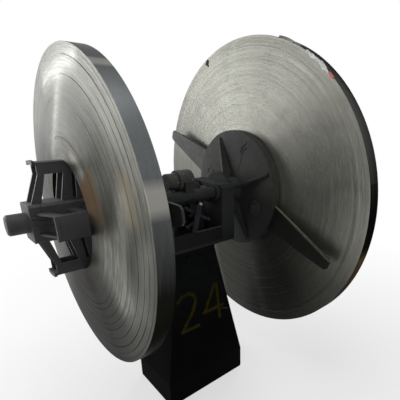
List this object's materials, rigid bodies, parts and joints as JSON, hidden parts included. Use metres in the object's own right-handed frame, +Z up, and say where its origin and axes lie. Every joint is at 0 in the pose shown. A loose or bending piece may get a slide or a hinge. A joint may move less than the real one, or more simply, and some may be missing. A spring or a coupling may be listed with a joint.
{
  "type": "double-headed decoiler with steel coils",
  "caption": "Swivelling double-headed strip decoiler on a tapered pedestal, with a narrow steel coil gripped on the expanding mandrel of each spindle.",
  "frame": {"origin": "on the floor under the middle of the pedestal", "axes": "+Z up; +X along the shaft line from the left coil to the right coil; -Y towards the numbered front of the pedestal"},
  "size_m": [1.696, 1.806, 2.103],
  "materials": {
    "strip": "cold-rolled strip seen edge on, with fine turn lines, light streaks and brown oil and rust stains",
    "pedestal_paint": "dark green machine paint, worn and dusty, with a hand-painted yellow number",
    "head_paint": "dark grey-green machine paint with grease and chipped edges",
    "spindle_paint": "charcoal paint, rubbed at the edges of the shoes and on the nose of the shaft",
    "plate_paint": "grey-green paint, scuffed by strip ends",
    "worn_steel": "bare steel with oil and brake dust"
  },
  "bodies": {
    "pedestal": {"pedestal_front_plate": "pedestal_paint", "pedestal_rear_plate": "pedestal_paint", "pedestal_left_plate": "pedestal_paint", "pedestal_right_plate": "pedestal_paint", "pedestal_floor_plate": "pedestal_paint", "pedestal_cap_plate": "pedestal_paint", "swivel_ring": "pedestal_paint"},
    "head": {"swivel_flange": "head_paint", "head_base_plate": "head_paint", "left_bearing_stand": "head_paint", "right_bearing_stand": "head_paint", "left_bearing_housing": "head_paint", "right_bearing_housing": "head_paint", "head_front_sill": "head_paint", "head_rear_sill": "head_paint", "front_tie_tube": "head_paint", "rear_tie_tube": "head_paint", "brake_cylinder": "head_paint", "brake_cylinder_saddle": "head_paint", "brake_lever": "head_paint", "left_brake_caliper": "head_paint", "right_brake_caliper": "head_paint"},
    "left_spindle": {"left_shaft": "spindle_paint", "left_brake_disc": "worn_steel", "left_back_plate": "plate_paint", "left_front_collar": "spindle_paint", "left_rear_collar": "spindle_paint", "left_coil": "strip", "left_gusset_1": "plate_paint", "left_gusset_2": "plate_paint", "left_gusset_3": "plate_paint", "left_gusset_4": "plate_paint", "left_guide_arm_1": "plate_paint", "left_guide_arm_2": "plate_paint", "left_mandrel_shoe_1": "spindle_paint", "left_mandrel_shoe_2": "spindle_paint", "left_mandrel_shoe_3": "spindle_paint", "left_mandrel_shoe_4": "spindle_paint"},
    "right_spindle": {"right_shaft": "spindle_paint", "right_brake_disc": "worn_steel", "right_back_plate": "plate_paint", "right_front_collar": "spindle_paint", "right_rear_collar": "spindle_paint", "right_coil": "strip", "right_gusset_1": "plate_paint", "right_gusset_2": "plate_paint", "right_gusset_3": "plate_paint", "right_gusset_4": "plate_paint", "right_guide_arm_1": "plate_paint", "right_guide_arm_2": "plate_paint", "right_mandrel_shoe_1": "spindle_paint", "right_mandrel_shoe_2": "spindle_paint", "right_mandrel_shoe_3": "spindle_paint", "right_mandrel_shoe_4": "spindle_paint"}
  },
  "joints": [
    {"name": "head_swivel", "type": "hinge", "parent": "pedestal", "child": "head", "pos_m": [0, 0, 0.93], "axis": [0, 0, 1], "continuous": true},
    {"name": "left_spindle_turn", "type": "hinge", "parent": "head", "child": "left_spindle", "pos_m": [-0.3, 0, 1.213], "axis": [1, 0, 0], "continuous": true},
    {"name": "right_spindle_turn", "type": "hinge", "parent": "head", "child": "right_spindle", "pos_m": [0.3, 0, 1.213], "axis": [1, 0, 0], "continuous": true}
  ]
}
